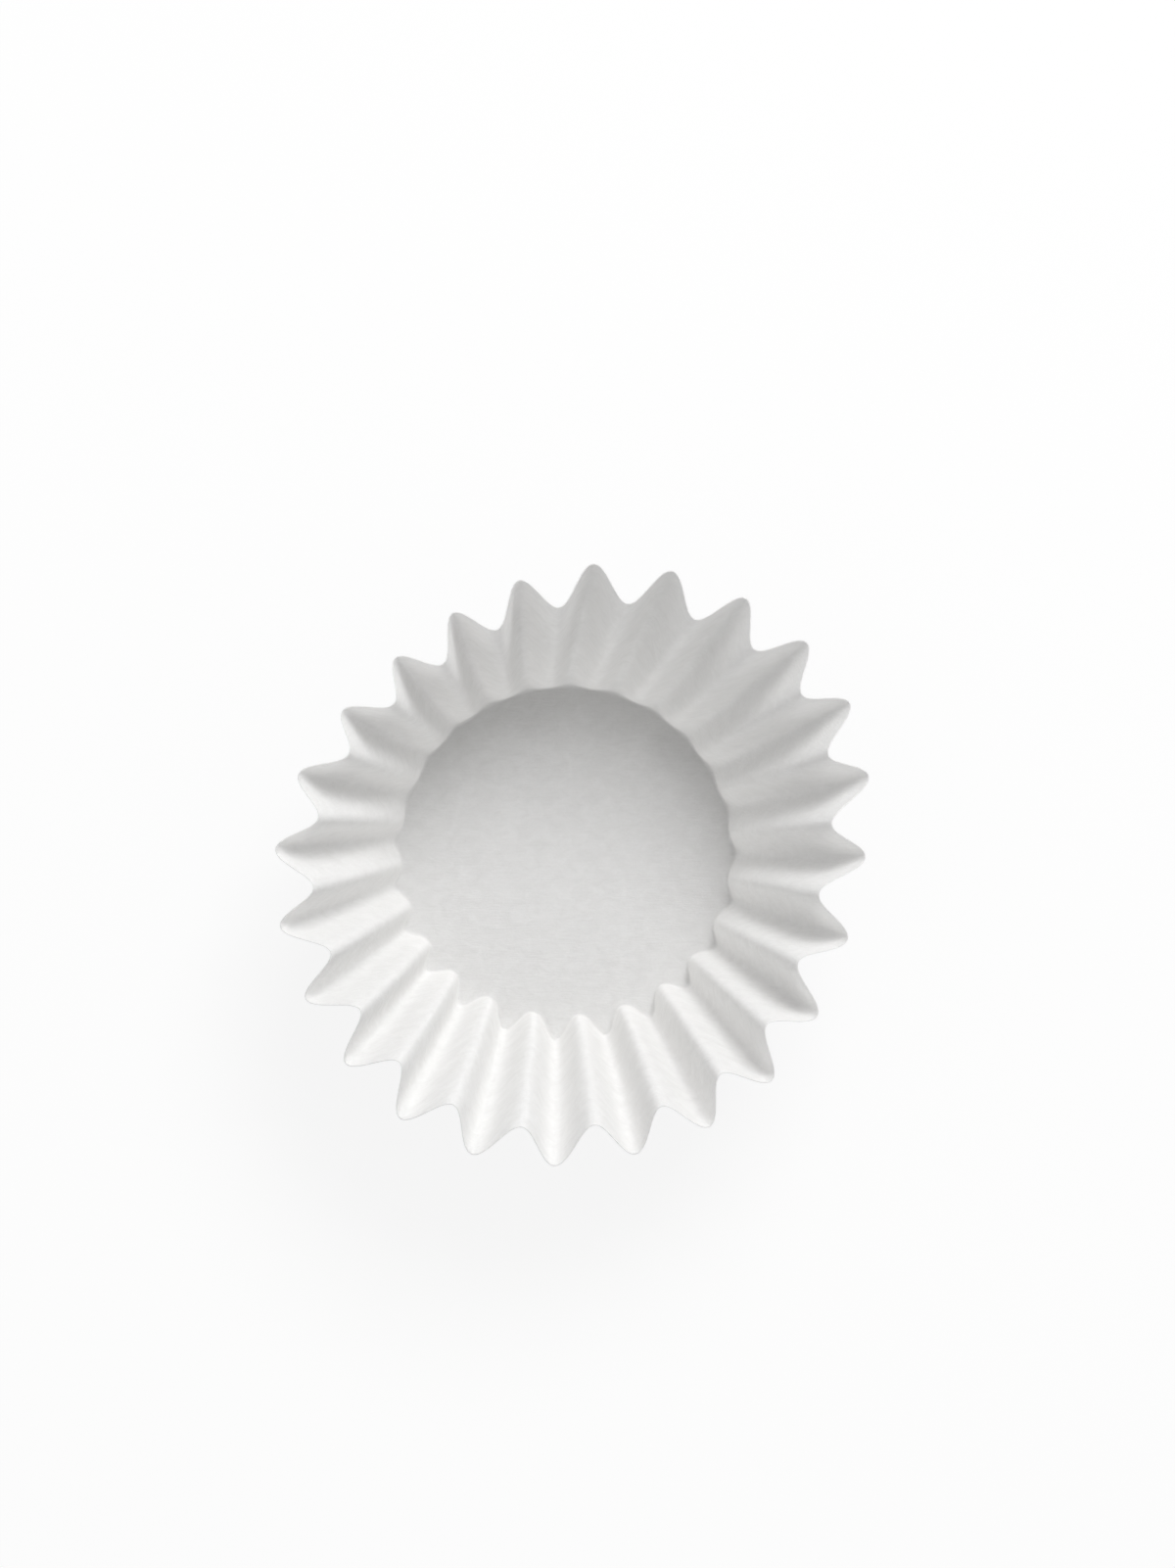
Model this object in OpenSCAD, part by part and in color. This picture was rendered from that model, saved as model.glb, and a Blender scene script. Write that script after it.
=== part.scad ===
// Fluted coffee filter for a flat-bottomed brewer basket.
//
// One sheet: a round disc of filter paper is pressed over a fluted former.
// The middle stays flat and becomes the bottom. The band around it turns up
// through a small fold and becomes the wall. A wall that leans out less than
// the flat disc spreads has paper to spare, and around the foot the creped paper
// stretches a little too. The flutes take that paper up, so their depth follows
// from the disc and isn't chosen.

/* [Sheet] */
// Diameter of the flat paper disc before it is pressed
sheet_d = 216; // [204:1:230]
// Thickness of the paper
paper = 0.2; // [0.15:0.05:0.4]

/* [Bottom] */
// Diameter of the flat bottom, up to where the fold begins
base_d = 82.5; // [76:0.5:90]
// Radius of the fold between the bottom and the wall, at the middle of the paper
fold_r = 2; // [1:0.25:4]

/* [Wall] */
// How far the wall leans out from upright just above the fold, in degrees
foot_lean = 15; // [10:1:22]
// How far the wall leans out from upright at the rim, in degrees
rim_lean = 28; // [24:1:36]

/* [Flutes] */
// Number of flutes around the wall
flute_count = 24; // [20:1:26]
// How much tighter the outward folds are than the inward ones, 0 for a plain wave
crest_pinch = 0.1; // [0:0.05:0.4]
// How far the creped paper stretches around the foot where it stretches most, as a
// share of its length
foot_stretch = 0.18; // [0:0.02:0.24]
// How far the flutes crowd together on one side of the rim, in degrees
flute_drift = 1; // [0:0.25:2]

/* [Set of the soft paper] */
// How far the rim is drawn out of round, along its longer way
rim_oval = 2.9; // [0:0.1:5]
// How far the rim's three soft corners stand out
rim_corner = 1.7; // [0:0.1:3]

/* [Hidden] */

// Ends of the rim's longer way, and its soft corners
oval_count = 2;
corner_count = 3;
// Directions around the rim, in degrees from +X towards +Y: the longer way across, one
// of the corners, the side where the flutes crowd together and one outward fold
oval_way = 48;
corner_way = 42;
drift_way = 113;
first_flute = -2.6;
// Side on which the foot stretches most, the share of that on the far side, and how
// narrow the stretched side is
foot_way = -90;
foot_least = 0.02;
foot_focus = 2;

// Steps of the surface along one flute, up the fold and up the wall
flute_steps = 12;
fold_rings = 2;
wall_rings = 7;
// Above 1, the wall's rings crowd towards the fold, where the flutes grow fastest
ring_crowd = 1.5;
// Paper distances over which the stretch sets in at the fold and fades up the wall
stretch_rise = 3;
stretch_fade = 22;
// Above 1, the soft paper's set shows mostly near the rim
set_growth = 1.5;
// Step for the surface's slopes, in millimetres of paper and in degrees around
slope_step = 0.05;
slope_turn = 0.05;
// Share of the spare length that makes a steep wave longer than its square law says
wave_gain = 0.72;

base_r = base_d / 2;
sheet_r = sheet_d / 2;
columns = flute_count * flute_steps;

// The fold turns the paper up to the wall's lean, and the wall then bows outwards
fold_turn = 90 - foot_lean;
fold_len = fold_r * fold_turn * PI / 180;
wall_len = sheet_r - base_r - fold_len;
band_len = fold_len + wall_len;
bow_turn = rim_lean - foot_lean;
bow_r = wall_len / (bow_turn * PI / 180);

// Distances along the paper from the bottom's edge, one for each ring of the surface
ring_at = concat(
    [for (i = [0 : fold_rings]) fold_len * i / fold_rings],
    [for (i = [1 : wall_rings]) fold_len + wall_len * pow(i / wall_rings, ring_crowd)]
);
last_ring = len(ring_at) - 1;

// Slope of the unfluted wall above level, at paper distance s from the bottom's edge
function slope(s) =
    s < fold_len ? fold_turn * s / fold_len
                 : fold_turn - bow_turn * (s - fold_len) / wall_len;

// Radius of the unfluted wall, at the middle of the paper
function mean_r(s) =
    s < fold_len ? base_r + fold_r * sin(slope(s))
                 : base_r + fold_r * sin(fold_turn)
                   + bow_r * (sin(fold_turn) - sin(slope(s)));

// Height of the unfluted wall, at the middle of the paper
function mean_z(s) =
    paper / 2 + (
        s < fold_len ? fold_r * (1 - cos(slope(s)))
                     : fold_r * (1 - cos(fold_turn))
                       + bow_r * (cos(slope(s)) - cos(fold_turn))
    );

// Share of the foot's stretch that shows at angle a
function foot_share(a) =
    foot_least + (1 - foot_least) * pow((1 + cos(a - foot_way)) / 2, foot_focus);

// How much longer the pressed paper is around the wall than it was in the flat disc
function stretched(s, a) =
    1 + foot_stretch * foot_share(a)
        * (1 - exp(-pow(s / stretch_rise, 2))) * exp(-s / stretch_fade);

// Spare paper around the wall: the sheet's own ring over the formed ring, less one
function spare(s, a) = max(0, (base_r + s) * stretched(s, a) / mean_r(s) - 1);

// Half the height of the wave that takes up the spare paper. For a shallow wave the
// spare length goes with the square of its steepness, and wave_gain carries that on to
// waves up to about twice as long as their chord.
function flute_depth(s, a) =
    let (extra = spare(s, a))
    2 * sqrt(extra * (1 + wave_gain * extra)) * mean_r(s) / flute_count;

// The wave itself, 1 on an outward fold and -1 on an inward one
function wave(turn) = cos(turn) - crest_pinch * pow(sin(turn), 2);

// Share of the rim's out-of-round set that shows at paper distance s
function set_share(s) = pow(max(0, s) / band_len, set_growth);

// The rim's set at angle a: how far it stands out, and how far it moves aside. The rim
// keeps its length, so it moves aside by less where its bulges are shorter.
function set_out(a) =
    rim_oval * cos(oval_count * (a - oval_way))
    + rim_corner * cos(corner_count * (a - corner_way));
function set_aside(a) =
    -rim_oval / oval_count * sin(oval_count * (a - oval_way))
    - rim_corner / corner_count * sin(corner_count * (a - corner_way));

// Turn of the wave at angle a around the sheet, a whole number of turns on each outward
// fold. The flutes crowd together where the drift grows fastest, at drift_way.
function flute_turn(a) =
    flute_count * (a - first_flute + flute_drift * sin(a - drift_way));

// Slope that the wave stands square to. Over the fold it is already the wall's, so that
// the flutes spread the fold sideways and the bottom stays flat.
function wave_slope(s) = slope(max(s, fold_len));

// Middle of the paper at paper distance s and angle a around the sheet
function middle(s, a) =
    let (
        lift = flute_depth(s, a) * wave(flute_turn(a)),
        out = mean_r(s) + lift * sin(wave_slope(s)) + set_share(s) * set_out(a),
        aside = set_share(s) * set_aside(a),
        up = mean_z(s) - lift * cos(wave_slope(s))
    )
    [out * cos(a) - aside * sin(a), out * sin(a) + aside * cos(a), up];

function unit(v) = v / norm(v);

// Way through the paper, from its outer side to its inner side
function through(s, a) =
    s == 0 ? [0, 0, 1]
           : unit(cross(
                 middle(s, a + slope_turn) - middle(s, a - slope_turn),
                 middle(s - slope_step, a) - middle(s + slope_step, a)
             ));

// One side of the paper: side is -1 for the outer one and 1 for the inner one
function side_points(side) = [
    for (s = ring_at)
        for (j = [0 : columns - 1])
            let (a = 360 * j / columns)
            middle(s, a) + through(s, a) * side * paper / 2
];

// Place in the list of points of a ring's column, on the outer or the inner side
function outer_at(ring, column) = ring * columns + column % columns;
function inner_at(ring, column) = (last_ring + 1) * columns + outer_at(ring, column);

// The two triangles of one patch, from its four corners in order
function patch(a, b, c, d) = [[a, b, c], [a, c, d]];

wall_faces = [
    for (i = [0 : last_ring - 1])
        for (j = [0 : columns - 1])
            each concat(
                patch(outer_at(i, j), outer_at(i + 1, j),
                      outer_at(i + 1, j + 1), outer_at(i, j + 1)),
                patch(inner_at(i, j), inner_at(i, j + 1),
                      inner_at(i + 1, j + 1), inner_at(i + 1, j))
            )
];

// The cut edge of the sheet, all round the rim
rim_faces = [
    for (j = [0 : columns - 1])
        each patch(outer_at(last_ring, j), inner_at(last_ring, j),
                   inner_at(last_ring, j + 1), outer_at(last_ring, j + 1))
];

// The flat bottom, one face under it and one inside
bottom_faces = [
    [for (j = [0 : columns - 1]) outer_at(0, j)],
    [for (j = [columns - 1 : -1 : 0]) inner_at(0, j)]
];

module filter_paper() {
    color("whitesmoke")
        polyhedron(
            points = concat(side_points(-1), side_points(1)),
            faces = concat(bottom_faces, wall_faces, rim_faces),
            convexity = 12
        );
}

filter_paper();
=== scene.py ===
"""A fluted basket coffee filter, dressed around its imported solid.

One round sheet of soft white paper is spun up as a flat disc, pressed into a flat
bottom, a small fold and a fluted wall, and then given its thickness. The paper's
creping, fibres and clouds lie in the flat sheet, so they follow it round every fold.
"""

import logging
import math
from dataclasses import dataclass
from enum import Enum
from typing import Any, ClassVar

import bmesh
import bpy
from mathutils import Matrix, Vector, noise


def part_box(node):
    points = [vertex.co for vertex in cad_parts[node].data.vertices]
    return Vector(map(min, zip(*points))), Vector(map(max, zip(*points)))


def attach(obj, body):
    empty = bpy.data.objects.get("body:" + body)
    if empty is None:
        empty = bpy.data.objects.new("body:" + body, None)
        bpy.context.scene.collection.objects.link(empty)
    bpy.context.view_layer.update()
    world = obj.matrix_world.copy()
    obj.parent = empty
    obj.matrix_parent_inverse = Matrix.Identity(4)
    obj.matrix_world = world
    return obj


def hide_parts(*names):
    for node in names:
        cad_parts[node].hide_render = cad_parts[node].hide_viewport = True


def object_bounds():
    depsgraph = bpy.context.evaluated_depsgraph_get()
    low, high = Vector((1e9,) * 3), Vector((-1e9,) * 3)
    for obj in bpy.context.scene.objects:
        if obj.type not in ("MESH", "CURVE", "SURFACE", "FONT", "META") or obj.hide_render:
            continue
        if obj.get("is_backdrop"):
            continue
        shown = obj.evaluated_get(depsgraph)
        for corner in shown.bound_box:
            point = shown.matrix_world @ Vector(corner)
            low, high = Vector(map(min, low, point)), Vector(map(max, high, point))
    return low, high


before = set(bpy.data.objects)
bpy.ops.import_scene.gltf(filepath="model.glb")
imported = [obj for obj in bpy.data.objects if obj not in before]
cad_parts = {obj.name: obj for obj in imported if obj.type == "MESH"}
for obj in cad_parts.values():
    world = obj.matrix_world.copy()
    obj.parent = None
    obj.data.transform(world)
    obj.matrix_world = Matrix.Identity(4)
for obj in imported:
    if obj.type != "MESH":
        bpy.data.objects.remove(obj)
CAD_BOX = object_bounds()

MM = 0.001
NODE = "filter_paper"
BODY = "root"
MIDDLE = 0.5
Colour = tuple[float, float, float]

log = logging.getLogger("coffee_filter")


class Value:
    """A number that changes over a surface, used as if it were a plain number."""

    def __init__(self, board: "NodeBoard", socket: bpy.types.NodeSocket) -> None:
        """Keeps the board and the output socket that the number comes from.

        Args:
            board: The material or world that the socket belongs to.
            socket: The output socket.
        """
        self.board = board
        self.socket = socket

    def maths(self, operation: str, first: Any, second: Any) -> "Value":
        """Works two numbers out with one node.

        Args:
            operation: The node's operation, such as ADD.
            first: A Value or a plain number.
            second: A Value or a plain number.

        Returns:
            The result.
        """
        node = self.board.node(
            "ShaderNodeMath", {"operation": operation}, {0: first, 1: second}
        )
        return Value(self.board, node.outputs[0])

    def __add__(self, other: Any) -> "Value":
        """This plus other."""
        return self.maths("ADD", self, other)

    def __radd__(self, other: Any) -> "Value":
        """Other plus this."""
        return self.maths("ADD", other, self)

    def __sub__(self, other: Any) -> "Value":
        """This less other."""
        return self.maths("SUBTRACT", self, other)

    def __mul__(self, other: Any) -> "Value":
        """This times other."""
        return self.maths("MULTIPLY", self, other)

    def __rmul__(self, other: Any) -> "Value":
        """Other times this."""
        return self.maths("MULTIPLY", other, self)

    def at_least(self, other: Any) -> "Value":
        """The larger of this and other."""
        return self.maths("MAXIMUM", self, other)


class NodeBoard:
    """The nodes of one material or world."""

    # A mix node's sockets share their names, so they go by number.
    MIX_SHARE = 0
    MIX_NONE = 6
    MIX_FULL = 7
    MIX_RESULT = 2

    def __init__(self, owner: bpy.types.ID) -> None:
        """Clears the owner's nodes.

        Args:
            owner: The material or world.
        """
        owner.use_nodes = True
        self.tree = owner.node_tree
        self.tree.nodes.clear()

    def node(
        self, kind: str, settings: dict[str, Any], inputs: dict[Any, Any]
    ) -> bpy.types.Node:
        """Adds one node.

        Args:
            kind: The node's type.
            settings: Its own settings, made first.
            inputs: What goes into its sockets, by name or number: a Value, an
                output socket, or a constant.

        Returns:
            The node.
        """
        made = self.tree.nodes.new(kind)
        for name, setting in settings.items():
            setattr(made, name, setting)
        for name, source in inputs.items():
            socket = made.inputs[name]
            if isinstance(source, Value):
                source = source.socket
            if isinstance(source, bpy.types.NodeSocket):
                self.tree.links.new(source, socket)
            else:
                socket.default_value = source
        return made

    def value(self, kind: str, output: str, **inputs: Any) -> Value:
        """Adds a node for one of its numbers.

        Args:
            kind: The node's type.
            output: The name of the output that is wanted.
            **inputs: What goes into its sockets.

        Returns:
            That output.
        """
        return Value(self, self.node(kind, {}, inputs).outputs[output])

    def mixed(self, share: Value, none: Colour, full: Colour) -> bpy.types.NodeSocket:
        """Mixes two colours.

        Args:
            share: How much of the second colour shows, from 0 to 1.
            none: The colour at 0.
            full: The colour at 1.

        Returns:
            The mixed colour.
        """
        node = self.node(
            "ShaderNodeMix",
            {"data_type": "RGBA", "clamp_factor": True},
            {
                self.MIX_SHARE: share,
                self.MIX_NONE: (*none, 1.0),
                self.MIX_FULL: (*full, 1.0),
            },
        )
        return node.outputs[self.MIX_RESULT]


class Grain(Enum):
    """The patterns in creped paper: size along the sheet and across it in mm, detail."""

    CLOUD = (4.0, 3.0, 3.0)
    CREPE = (4.5, 0.55, 2.0)
    FIBRE = (0.75, 0.5, 4.0)

    @property
    def along(self) -> float:
        """The pattern's size along the creping, in mm."""
        return self.value[0]

    @property
    def across(self) -> float:
        """The pattern's size across the creping, in mm."""
        return self.value[1]

    @property
    def detail(self) -> float:
        """How many finer layers the pattern has."""
        return self.value[2]


@dataclass(frozen=True)
class PaperFinish:
    """Soft white filter paper: creped, fibrous, faintly cloudy, letting light through."""

    name: str = "soft_filter_paper"
    bright: Colour = (0.88, 0.875, 0.865)
    dull: Colour = (0.80, 0.794, 0.782)
    roughness: float = 0.88
    roughness_spread: float = 0.08
    specular: float = 0.25
    glow: float = 1.0
    glow_reach: float = 0.85 * MM
    glow_tint: Colour = (1.0, 1.0, 1.0)
    crepe_mm: float = 0.05
    fibre_mm: float = 0.03
    cloud_mm: float = 0.04
    cloud_tone: float = 1.3
    crepe_tone: float = 0.7
    fibre_tone: float = 0.9
    grain_roughness: float = 0.55
    grain_wander: float = 0.6

    def grain(self, board: NodeBoard, sheet_mm: float, pattern: Grain) -> Value:
        """One of the paper's patterns, from 0 to 1.

        Args:
            board: The material's nodes.
            sheet_mm: The width of the flat sheet, which the UV map spans.
            pattern: Which pattern.

        Returns:
            The pattern's strength.
        """
        flat = board.node("ShaderNodeUVMap", {"uv_map": PressedSheet.uv_name}, {})
        placed = board.node(
            "ShaderNodeMapping",
            {},
            {
                "Vector": flat.outputs["UV"],
                "Scale": (sheet_mm / pattern.along, sheet_mm / pattern.across, 1.0),
            },
        )
        spots = board.node(
            "ShaderNodeTexNoise",
            {"noise_dimensions": "2D"},
            {
                "Vector": placed.outputs["Vector"],
                "Scale": 1.0,
                "Detail": pattern.detail,
                "Roughness": self.grain_roughness,
                "Distortion": self.grain_wander,
            },
        )
        return Value(board, spots.outputs[0])

    def material(self, sheet_mm: float) -> bpy.types.Material:
        """Makes the paper.

        Args:
            sheet_mm: The width of the flat sheet, which the UV map spans.

        Returns:
            The material.
        """
        made = bpy.data.materials.new(self.name)
        board = NodeBoard(made)
        cloud, crepe, fibre = (self.grain(board, sheet_mm, each) for each in Grain)
        shade = (
            MIDDLE
            + self.cloud_tone * (cloud - MIDDLE)
            + self.crepe_tone * (crepe - MIDDLE)
            + self.fibre_tone * (fibre - MIDDLE)
        )
        relief = self.crepe_mm * crepe + self.fibre_mm * fibre + self.cloud_mm * cloud
        bump = board.node(
            "ShaderNodeBump", {}, {"Strength": 1.0, "Distance": MM, "Height": relief}
        )
        paper = board.node(
            "ShaderNodeBsdfPrincipled",
            {"subsurface_method": "RANDOM_WALK"},
            {
                "Base Color": board.mixed(shade, self.dull, self.bright),
                "Roughness": self.roughness + self.roughness_spread * (fibre - MIDDLE),
                "Specular IOR Level": self.specular,
                "Subsurface Weight": self.glow,
                "Subsurface Radius": self.glow_tint,
                "Subsurface Scale": self.glow_reach,
                "Normal": bump.outputs["Normal"],
            },
        )
        board.node(
            "ShaderNodeOutputMaterial", {}, {"Surface": paper.outputs["BSDF"]}
        )
        return made


@dataclass(frozen=True)
class FloorFinish:
    """A plain white floor that keeps the object's shadow and throws little light back."""

    name: str = "white_floor"
    colour: Colour = (0.8, 0.8, 0.8)
    bounce: Colour = (0.15, 0.15, 0.15)
    lift: float = 0.86

    def material(self) -> bpy.types.Material:
        """Makes the floor, most of it plain white to the camera.

        Returns:
            The material.
        """
        made = bpy.data.materials.new(self.name)
        board = NodeBoard(made)
        seen = board.value("ShaderNodeLightPath", "Is Camera Ray")
        tone = board.mixed(seen, self.bounce, self.colour)
        lit = board.node("ShaderNodeBsdfDiffuse", {}, {"Color": tone})
        white = board.node("ShaderNodeEmission", {}, {"Strength": 1.0})
        both = board.node(
            "ShaderNodeMixShader",
            {},
            {0: seen * self.lift, 1: lit.outputs[0], 2: white.outputs[0]},
        )
        board.node("ShaderNodeOutputMaterial", {}, {"Surface": both.outputs[0]})
        return made


@dataclass(frozen=True)
class Swell:
    """A slow wave around the rim: its bulges, its reach, and one bulge's way in degrees."""

    bulges: int
    reach: float
    way: float

    def out(self, angle: float) -> float:
        """How far the wave stands out in one direction.

        Args:
            angle: The direction, in radians from +X towards +Y.

        Returns:
            The wave's height, in the units of its reach.
        """
        return self.reach * math.cos(self.bulges * (angle - math.radians(self.way)))

    def aside(self, angle: float) -> float:
        """How far a rim that keeps its length moves sideways under the wave.

        Args:
            angle: The direction, in radians from +X towards +Y.

        Returns:
            The move towards larger angles, in the units of the reach.
        """
        turn = self.bulges * (angle - math.radians(self.way))
        return -self.reach / self.bulges * math.sin(turn)


@dataclass
class PressedSheet:
    """The filter: one round sheet, pressed over a fluted former."""

    uv_name: ClassVar[str] = "flat_sheet"

    sheet_d: float = 216 * MM
    paper: float = 0.2 * MM
    base_d: float = 82.5 * MM
    fold_r: float = 1.2 * MM
    foot_lean: float = math.radians(15)
    rim_lean: float = math.radians(28.3)
    flute_count: int = 24
    crest_pinch: float = 0.08
    foot_stretch: float = 0.14
    foot_scallop: float = 5 * MM
    scallop_fade: float = 26 * MM
    foot_way: float = math.radians(-95)
    foot_focus: float = 2.6
    stretch_rise: float = 3 * MM
    stretch_fade: float = 22 * MM
    wave_gain: float = 0.72
    first_flute: float = math.radians(-2.67)
    flute_drift: tuple[Swell, ...] = (Swell(1, 1.94, 209), Swell(4, 0.61, -34))
    rim_set: tuple[Swell, ...] = (
        Swell(1, 1.1, -44), Swell(2, 3.4, 49), Swell(3, 1.55, 49), Swell(5, 0.9, 27)
    )
    uneven_depth: tuple[Swell, ...] = (
        Swell(1, 0.06, -37), Swell(2, 0.05, 44), Swell(3, 0.06, -34)
    )
    set_growth: float = 1.5

    cockle: float = 0.35 * MM
    cockle_size: float = 14 * MM
    cockle_growth: float = 3.0
    base_cockle: float = 0.12 * MM
    base_rise: float = 0.5

    flute_steps: int = 28
    base_rings: int = 8
    fold_rings: int = 8
    wall_rings: int = 46
    ring_crowd: float = 1.35
    merge_within: float = 0.001 * MM
    sharp_from: float = math.radians(55)

    def __post_init__(self) -> None:
        """Works out the lengths that follow from the driving sizes."""
        self.base_r = self.base_d / 2
        self.sheet_r = self.sheet_d / 2
        self.fold_turn = math.pi / 2 - self.foot_lean
        self.fold_len = self.fold_r * self.fold_turn
        self.wall_len = self.sheet_r - self.base_r - self.fold_len
        self.band_len = self.fold_len + self.wall_len
        self.bow_turn = self.rim_lean - self.foot_lean
        self.bow_r = self.wall_len / self.bow_turn

    def slope(self, s: float) -> float:
        """Slope of the unfluted wall above level.

        Args:
            s: Paper distance from the bottom's edge.

        Returns:
            The slope in radians.
        """
        if s < self.fold_len:
            return self.fold_turn * s / self.fold_len
        return self.fold_turn - self.bow_turn * (s - self.fold_len) / self.wall_len

    def mean_r(self, s: float) -> float:
        """Radius of the unfluted wall.

        Args:
            s: Paper distance from the bottom's edge.

        Returns:
            The radius at the middle of the paper.
        """
        if s < self.fold_len:
            return self.base_r + self.fold_r * math.sin(self.slope(s))
        foot = self.base_r + self.fold_r * math.sin(self.fold_turn)
        return foot + self.bow_r * (math.sin(self.fold_turn) - math.sin(self.slope(s)))

    def mean_z(self, s: float) -> float:
        """Height of the unfluted wall.

        Args:
            s: Paper distance from the bottom's edge.

        Returns:
            The height of the middle of the paper.
        """
        if s < self.fold_len:
            return self.paper / 2 + self.fold_r * (1 - math.cos(self.slope(s)))
        foot = self.paper / 2 + self.fold_r * (1 - math.cos(self.fold_turn))
        return foot + self.bow_r * (math.cos(self.slope(s)) - math.cos(self.fold_turn))

    def foot_share(self, angle: float) -> float:
        """Share of the foot's stretch and scallops that shows in one direction."""
        return ((1 + math.cos(angle - self.foot_way)) / 2) ** self.foot_focus

    def scallop(self, s: float, angle: float, wave: float) -> float:
        """How far the fold is let out under an outward fold, which scallops the bottom.

        Args:
            s: Paper distance from the bottom's edge.
            angle: Direction around the sheet, in radians.
            wave: The flutes' wave there, from -1 to 1.

        Returns:
            The paper distance by which the fold starts later.
        """
        most = self.foot_scallop * self.foot_share(angle) * (1 + wave) / 2
        return most * math.exp(-s / self.scallop_fade)

    def spare(self, s: float, angle: float) -> float:
        """Spare paper around the wall, as a share of its length.

        Args:
            s: Paper distance from the bottom's edge.
            angle: Direction around the sheet, in radians.

        Returns:
            The share.
        """
        most = self.foot_stretch * self.foot_share(angle)
        set_in = 1 - math.exp(-((s / self.stretch_rise) ** 2))
        stretch = 1 + most * set_in * math.exp(-s / self.stretch_fade)
        return max(0.0, (self.base_r + s) * stretch / self.mean_r(s) - 1)

    def flute_depth(self, s: float, angle: float) -> float:
        """Half the height of the wave that takes up the spare paper.

        Args:
            s: Paper distance from the bottom's edge.
            angle: Direction around the sheet, in radians.

        Returns:
            The wave's height from its middle.
        """
        spare = self.spare(s, angle)
        steepness = 2 * math.sqrt(spare * (1 + self.wave_gain * spare))
        return steepness * self.mean_r(s) / self.flute_count

    def set_share(self, s: float) -> float:
        """Share of the rim's soft set that shows at paper distance s."""
        return (max(0.0, s) / self.band_len) ** self.set_growth

    def wave(self, angle: float) -> float:
        """The flutes' wave, 1 on an outward fold and -1 on an inward one.

        Args:
            angle: Direction around the sheet, in radians.

        Returns:
            The wave's height.
        """
        drift = math.radians(sum(swell.out(angle) for swell in self.flute_drift))
        turn = self.flute_count * (angle - self.first_flute + drift)
        return math.cos(turn) - self.crest_pinch * math.sin(turn) ** 2

    def pressed(self, flat: Vector) -> Vector:
        """Where a point of the flat disc comes to lie.

        Args:
            flat: The point in the flat disc.

        Returns:
            Its place in the middle of the pressed paper.
        """
        bulge = noise.noise(flat / self.cockle_size)
        s = flat.length - self.base_r
        if s <= 0:
            inside = min(1.0, -s / self.base_r * self.cockle_growth)
            rise = self.base_cockle * inside * (self.base_rise + bulge)
            return Vector((flat.x, flat.y, self.paper / 2 + max(0.0, rise)))
        angle = math.atan2(flat.y, flat.x)
        share = self.set_share(s)
        depth = self.flute_depth(s, angle)
        depth *= 1 + share * sum(swell.out(angle) for swell in self.uneven_depth)
        wave = self.wave(angle)
        late = self.scallop(s, angle, wave)
        lift = depth * wave
        lift += self.cockle * bulge * min(1.0, share * self.cockle_growth)
        square = self.slope(max(s, self.fold_len))
        if s < late:
            out = self.base_r + s
            up = self.paper / 2
            lift = lift * s / late
        else:
            out = self.mean_r(s - late) + late
            up = self.mean_z(s - late)
        out += lift * math.sin(square)
        out += share * MM * sum(swell.out(angle) for swell in self.rim_set)
        aside = share * MM * sum(swell.aside(angle) for swell in self.rim_set)
        up = max(self.paper / 2, up - lift * math.cos(square))
        return Matrix.Rotation(angle, 3, "Z") @ Vector((out, aside, up))

    def ring_radii(self) -> list[float]:
        """Radii of the flat disc's rings.

        Returns:
            The radii, from the disc's middle to its cut edge.
        """
        base = [self.base_r * i / self.base_rings for i in range(self.base_rings + 1)]
        fold = [
            self.base_r + self.fold_len * i / self.fold_rings
            for i in range(1, self.fold_rings + 1)
        ]
        wall = [
            self.base_r + self.fold_len
            + self.wall_len * (i / self.wall_rings) ** self.ring_crowd
            for i in range(1, self.wall_rings + 1)
        ]
        return base + fold + wall

    def flat_disc(self) -> bmesh.types.BMesh:
        """Spins a line of points into the flat disc.

        Returns:
            The disc, facing up, with its flat UV map.
        """
        disc = bmesh.new()
        line = [disc.verts.new((r, 0.0, 0.0)) for r in self.ring_radii()]
        edges = [disc.edges.new(pair) for pair in zip(line, line[1:])]
        bmesh.ops.spin(
            disc, geom=line + edges, cent=(0, 0, 0), axis=(0, 0, 1), dvec=(0, 0, 0),
            angle=math.tau, steps=self.flute_count * self.flute_steps, use_merge=True,
        )
        bmesh.ops.remove_doubles(disc, verts=disc.verts, dist=self.merge_within)
        bmesh.ops.recalc_face_normals(disc, faces=disc.faces)
        if next(iter(disc.faces)).normal.z < 0:
            bmesh.ops.reverse_faces(disc, faces=disc.faces)
        flat = disc.loops.layers.uv.new(self.uv_name)
        for face in disc.faces:
            for corner in face.loops:
                place = corner.vert.co / self.sheet_d
                corner[flat].uv = (place.x + MIDDLE, place.y + MIDDLE)
        return disc

    def build(self, finish: PaperFinish) -> bpy.types.Object:
        """Presses the disc, gives it its thickness and dresses it.

        Args:
            finish: The paper's finish.

        Returns:
            The filter, riding on its body.
        """
        sheet = self.flat_disc()
        for vert in sheet.verts:
            vert.co = self.pressed(vert.co)
        sheet.normal_update()
        inner = [vert.co + vert.normal * self.paper / 2 for vert in sheet.verts]
        for vert, place in zip(sheet.verts, inner):
            vert.co = place
        bmesh.ops.solidify(sheet, geom=sheet.faces[:], thickness=self.paper)
        mesh = bpy.data.meshes.new("pressed_sheet")
        sheet.to_mesh(mesh)
        sheet.free()
        mesh.shade_smooth()
        mesh.set_sharp_from_angle(angle=self.sharp_from)
        mesh.materials.append(finish.material(self.sheet_d / MM))
        piece = bpy.data.objects.new("pressed_sheet", mesh)
        bpy.context.scene.collection.objects.link(piece)
        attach(piece, BODY)
        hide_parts(NODE)
        return piece


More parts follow.
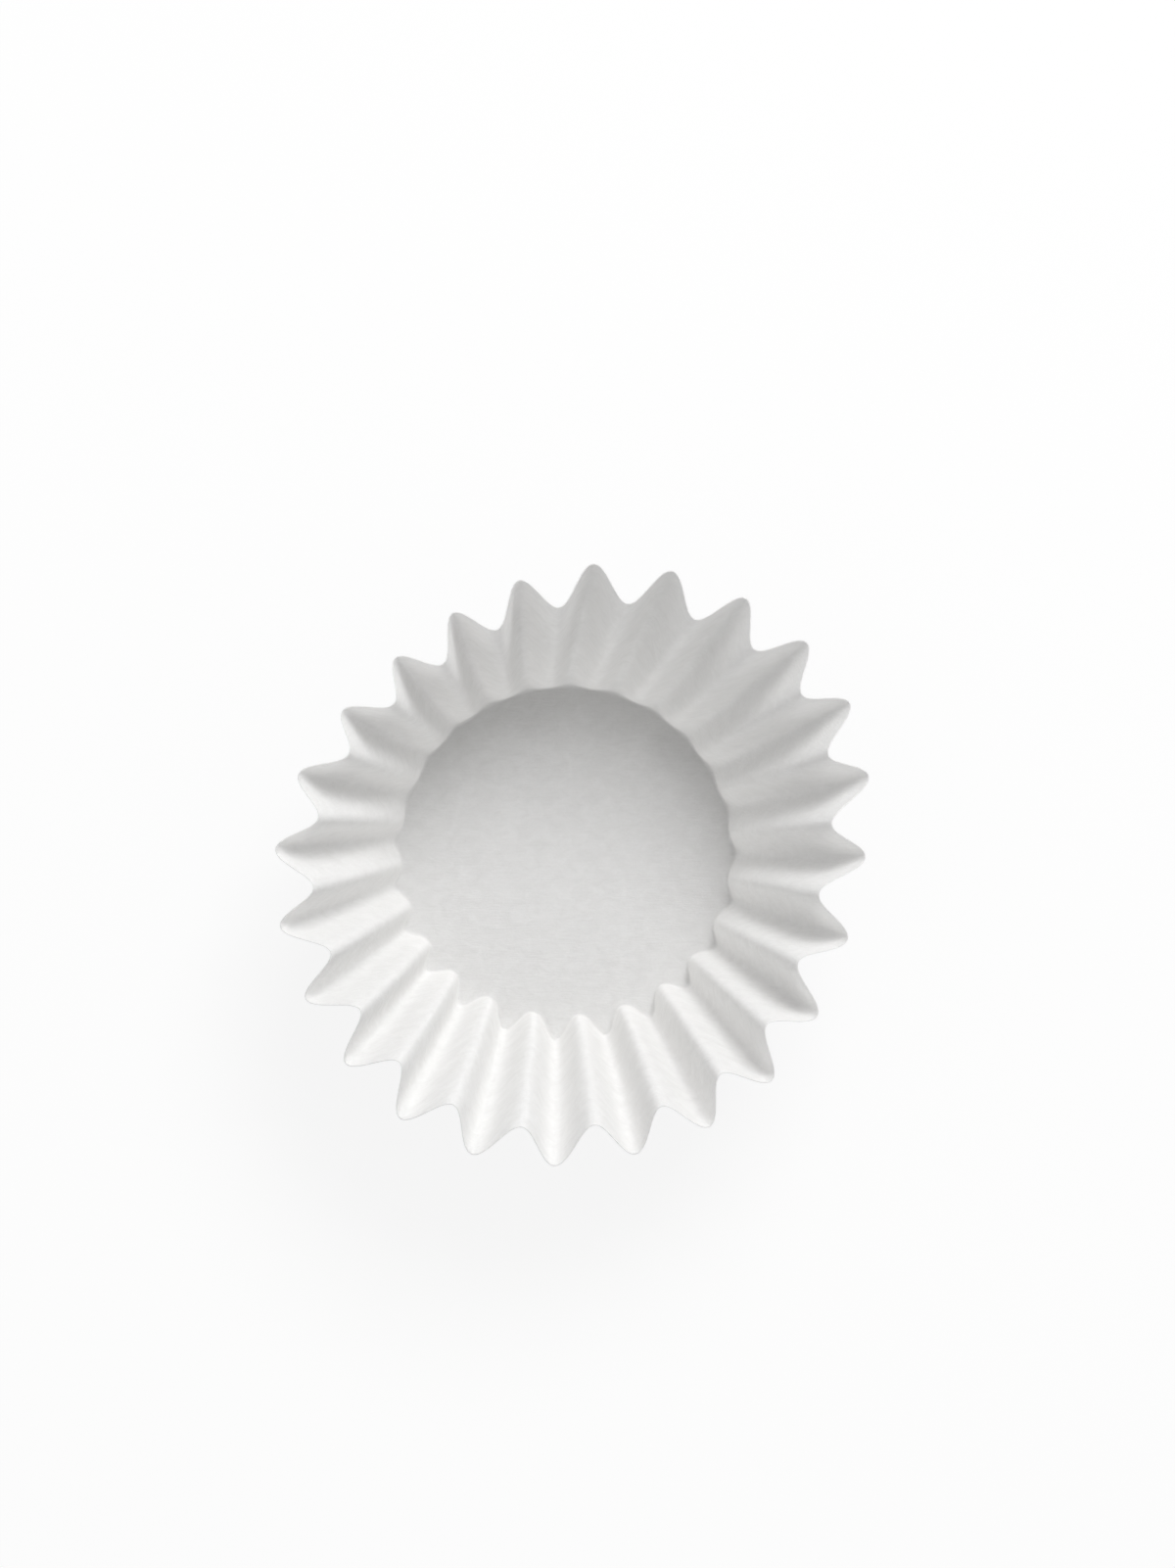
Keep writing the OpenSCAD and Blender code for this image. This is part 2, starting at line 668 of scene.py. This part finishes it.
@dataclass(frozen=True)
class SoftBox:
    """A large square lamp. Its strength is how light a white face turned to it gets."""

    name: str
    azimuth: float
    elevation: float
    distance: float
    size: float
    strength: float

    def build(self, target: Vector) -> bpy.types.Object:
        """Hangs the lamp, facing the target.

        Args:
            target: What the lamp lights.

        Returns:
            The lamp.
        """
        way = Vector(
            (
                math.cos(self.azimuth) * math.cos(self.elevation),
                math.sin(self.azimuth) * math.cos(self.elevation),
                math.sin(self.elevation),
            )
        )
        lamp = bpy.data.lights.new(self.name, "AREA")
        lamp.size = self.size
        lamp.energy = self.strength * (math.pi * self.distance) ** 2
        made = bpy.data.objects.new(self.name, lamp)
        made.location = target + way * self.distance
        made.rotation_euler = way.to_track_quat("Z", "Y").to_euler()
        bpy.context.scene.collection.objects.link(made)
        return made


@dataclass
class Studio:
    """A white floor, a pale surround and one large soft lamp."""

    key: SoftBox = SoftBox(
        name="key",
        azimuth=math.radians(72),
        elevation=math.radians(51),
        distance=1.6,
        size=0.7,
        strength=0.76,
    )
    surround: float = 0.57
    floor_size: float = 6.0
    floor_gap: float = 0.02 * MM

    def world(self) -> bpy.types.World:
        """Makes the surround: pale as a light, white where it is seen or mirrored.

        Returns:
            The world.
        """
        made = bpy.data.worlds.new("pale_surround")
        board = NodeBoard(made)
        path = board.node("ShaderNodeLightPath", {}, {})
        seen, mirrored, through = (
            Value(board, path.outputs[name])
            for name in ("Is Camera Ray", "Is Glossy Ray", "Is Transmission Ray")
        )
        shown = seen.at_least(mirrored).at_least(through)
        light = board.node(
            "ShaderNodeBackground",
            {},
            {
                "Color": (1.0, 1.0, 1.0, 1.0),
                "Strength": self.surround + (1 - self.surround) * shown,
            },
        )
        board.node(
            "ShaderNodeOutputWorld", {}, {"Surface": light.outputs["Background"]}
        )
        bpy.context.scene.world = made
        return made

    def floor(self) -> bpy.types.Object:
        """Lays the floor just under the filter.

        Returns:
            The floor.
        """
        plane = bmesh.new()
        bmesh.ops.create_grid(plane, x_segments=1, y_segments=1, size=self.floor_size / 2)
        bmesh.ops.translate(plane, verts=plane.verts, vec=(0, 0, -self.floor_gap))
        mesh = bpy.data.meshes.new("floor")
        plane.to_mesh(mesh)
        plane.free()
        mesh.materials.append(FloorFinish().material())
        made = bpy.data.objects.new("floor", mesh)
        bpy.context.scene.collection.objects.link(made)
        made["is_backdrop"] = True
        return made

    def build(self, target: Vector) -> None:
        """Makes the whole studio.

        Args:
            target: What the lamp lights.
        """
        bpy.context.scene.view_settings.view_transform = "Standard"
        self.world()
        self.floor()
        self.key.build(target)


@dataclass(frozen=True)
class TopCamera:
    """The camera, nearly over the filter, with the rim's centre low in the picture."""

    tilt: float = math.radians(2.61)
    tilt_way: float = math.radians(156.8)
    distance: float = 924.8 * MM
    rim_aside: float = -2.95 * MM
    rim_along: float = -18.34 * MM
    rim_height: float = 59.6 * MM
    image_long: int = 1601
    pixels_per_metre: float = 4280.0
    sensor_width: float = 36.0
    nearest: float = 50 * MM

    def build(self) -> bpy.types.Object:
        """Sets the camera up and makes it the scene's.

        Returns:
            The camera.
        """
        back = Vector(
            (
                math.sin(self.tilt) * math.cos(self.tilt_way),
                math.sin(self.tilt) * math.sin(self.tilt_way),
                math.cos(self.tilt),
            )
        )
        up = Vector((0, 1, 0))
        up = (up - back * back.dot(up)).normalized()
        right = up.cross(back)
        aim = Vector((0, 0, self.rim_height))
        aim -= right * self.rim_aside + up * self.rim_along
        lens = bpy.data.cameras.new("camera")
        lens.sensor_width = self.sensor_width
        focal_pixels = self.pixels_per_metre * self.distance
        lens.lens = lens.sensor_width * focal_pixels / self.image_long
        lens.clip_start = self.nearest
        made = bpy.data.objects.new("camera", lens)
        turned = Matrix((right, up, back)).transposed().to_4x4()
        made.matrix_world = Matrix.Translation(aim + back * self.distance) @ turned
        bpy.context.scene.collection.objects.link(made)
        bpy.context.scene.camera = made
        return made


def note_sizes() -> None:
    """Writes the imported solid's box and the dressed part's box."""
    boxes = {"cad": CAD_BOX, "visual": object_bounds()}
    for name, (low, high) in boxes.items():
        corners = [tuple(round(x / MM, 2) for x in corner) for corner in (low, high)]
        log.info("%s box mm: %s to %s", name, *corners)


def main() -> None:
    """Builds the camera, the filter and the studio, in that order."""
    logging.basicConfig(level=logging.INFO, format="%(name)s: %(message)s", force=True)
    TopCamera().build()
    low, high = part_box(NODE)
    piece = PressedSheet().build(PaperFinish())
    log.info("%s: %d faces", piece.name, len(piece.data.polygons))
    Studio().build((low + high) / 2)
    note_sizes()


if __name__ == "__main__":
    main()
